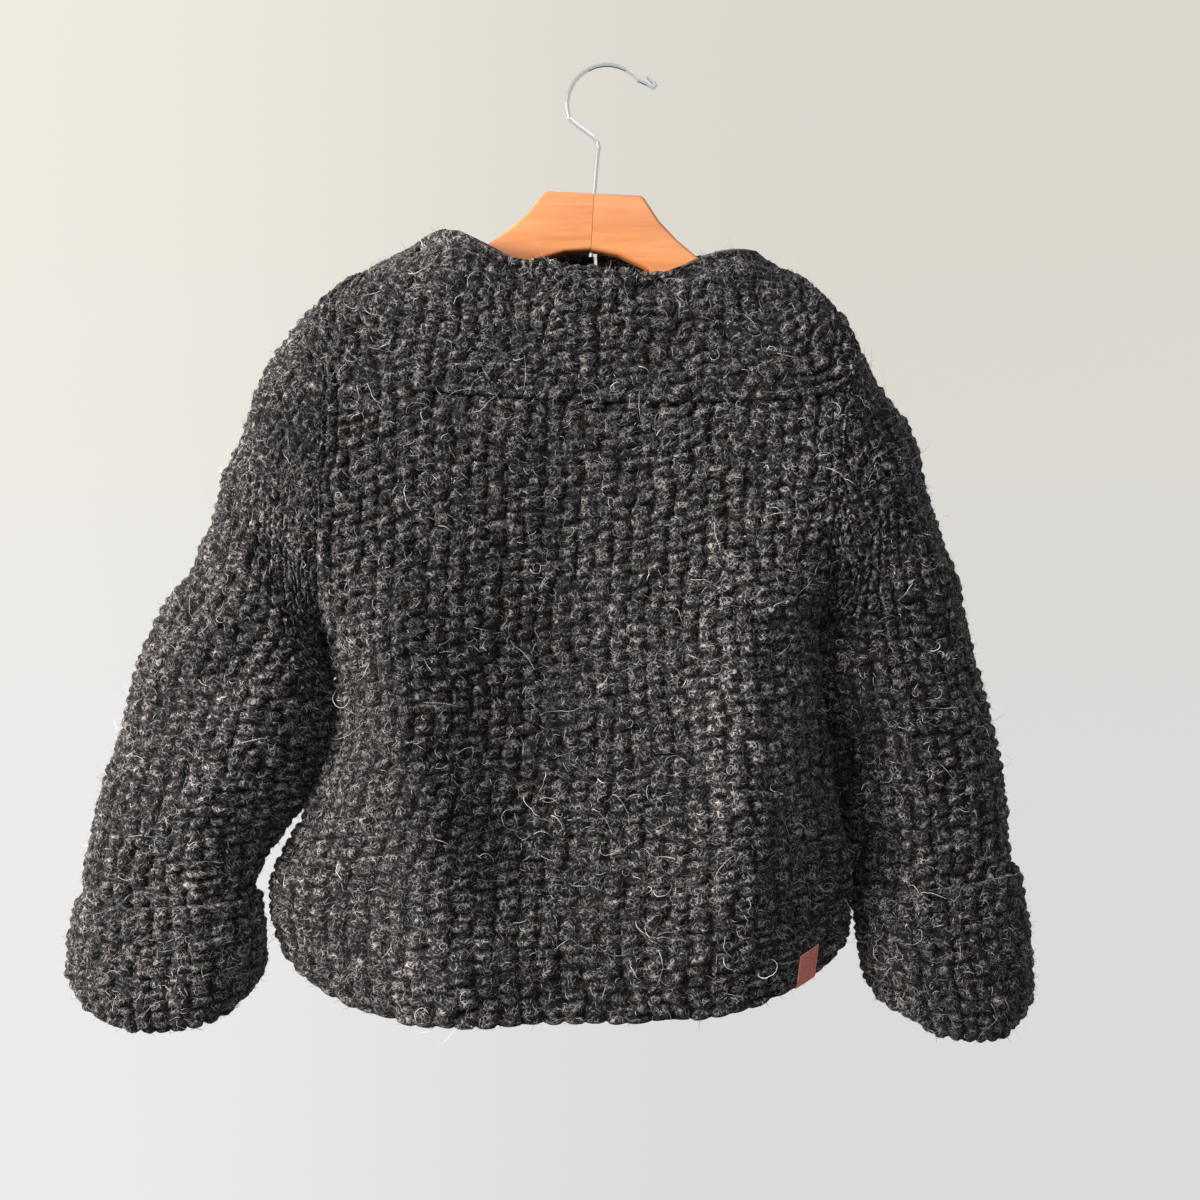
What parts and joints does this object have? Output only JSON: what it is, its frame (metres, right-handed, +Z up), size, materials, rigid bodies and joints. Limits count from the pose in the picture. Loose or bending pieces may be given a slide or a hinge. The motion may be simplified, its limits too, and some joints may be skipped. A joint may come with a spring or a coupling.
{
  "type": "hanging knit jacket",
  "caption": "Chunky ribbed knit jacket with a wide turned-down collar and turned-back cuffs, seen from the back on a wooden hanger with a wire hook.",
  "frame": {"origin": "inner crown of the hanger's hook, where it hangs on a nail", "axes": "+Z up; -Y out of the jacket's back, toward the picture's camera; +X to the picture's right"},
  "size_m": [0.7395, 0.1103, 0.7419],
  "materials": {
    "wool_back": "chunky ribbed wool knit",
    "wool_left_front": "chunky ribbed wool knit",
    "wool_right_front": "chunky ribbed wool knit",
    "wool_left_sleeve": "chunky ribbed wool knit",
    "wool_left_cuff": "chunky ribbed wool knit",
    "wool_right_sleeve": "chunky ribbed wool knit",
    "wool_right_cuff": "chunky ribbed wool knit",
    "wool_collar": "chunky ribbed wool knit",
    "left_arm_wood": "clear satin lacquer",
    "right_arm_wood": "clear satin lacquer",
    "hook_chrome": "polished wire",
    "tag_leather": "smooth, matte"
  },
  "bodies": {
    "root": {"back": "wool_back", "left_front": "wool_left_front", "right_front": "wool_right_front", "left_sleeve": "wool_left_sleeve", "left_cuff": "wool_left_cuff", "right_sleeve": "wool_right_sleeve", "right_cuff": "wool_right_cuff", "collar": "wool_collar", "left_hanger_arm": "left_arm_wood", "right_hanger_arm": "right_arm_wood", "hook_wire": "hook_chrome", "hem_tag": "tag_leather"}
  },
  "joints": []
}
